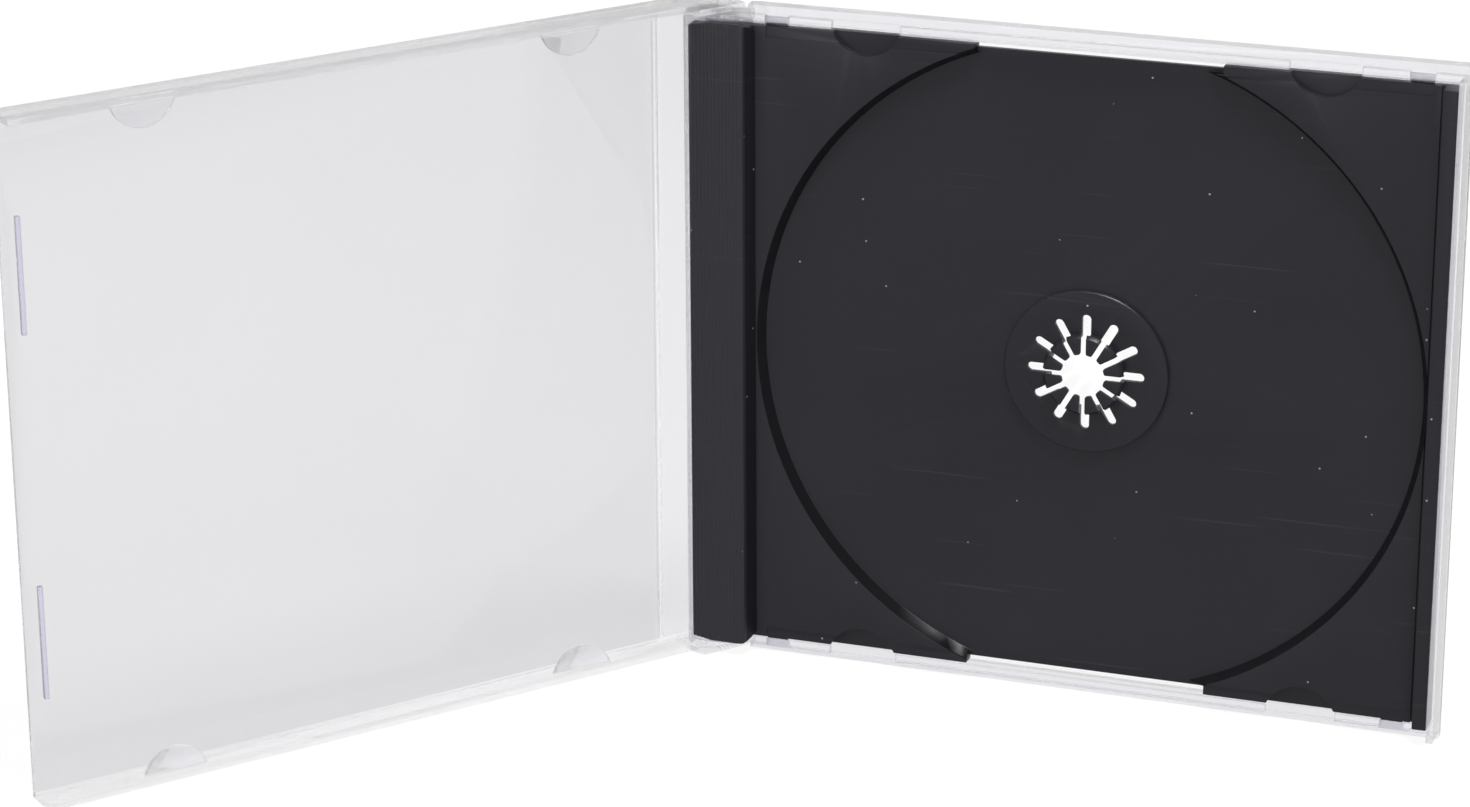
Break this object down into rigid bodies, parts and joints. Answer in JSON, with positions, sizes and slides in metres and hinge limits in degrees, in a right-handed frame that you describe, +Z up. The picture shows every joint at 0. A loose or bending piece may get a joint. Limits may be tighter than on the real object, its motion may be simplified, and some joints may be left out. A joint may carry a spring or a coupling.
{
  "type": "cd jewel case",
  "caption": "Open clear plastic disc case: hinged front and back covers with a dark disc tray and sprung hub, stood upright like a book.",
  "frame": {"origin": "foot of the hinge axis, on the surface that the case stands on", "axes": "+Z up along the hinge axis; +X from the hinge across the back cover to its opening edge; -Y the way the disc tray faces"},
  "size_m": [0.2271, 0.1163, 0.125],
  "materials": {
    "clear_plastic": "clear polished polystyrene with faintly purple-grey edges",
    "dark_plastic": "charcoal polystyrene with a fine satin grain, dust specks and faint scratches"
  },
  "bodies": {
    "back_leaf": {"back_cover": "clear_plastic", "disc_tray": "dark_plastic"},
    "front_leaf": {"front_cover": "clear_plastic"}
  },
  "joints": [
    {"name": "cover_hinge", "type": "hinge", "parent": "back_leaf", "child": "front_leaf", "pos_m": [0, 0, 0.0625], "axis": [0, 0, -1], "range_deg": [-128, 52]}
  ]
}
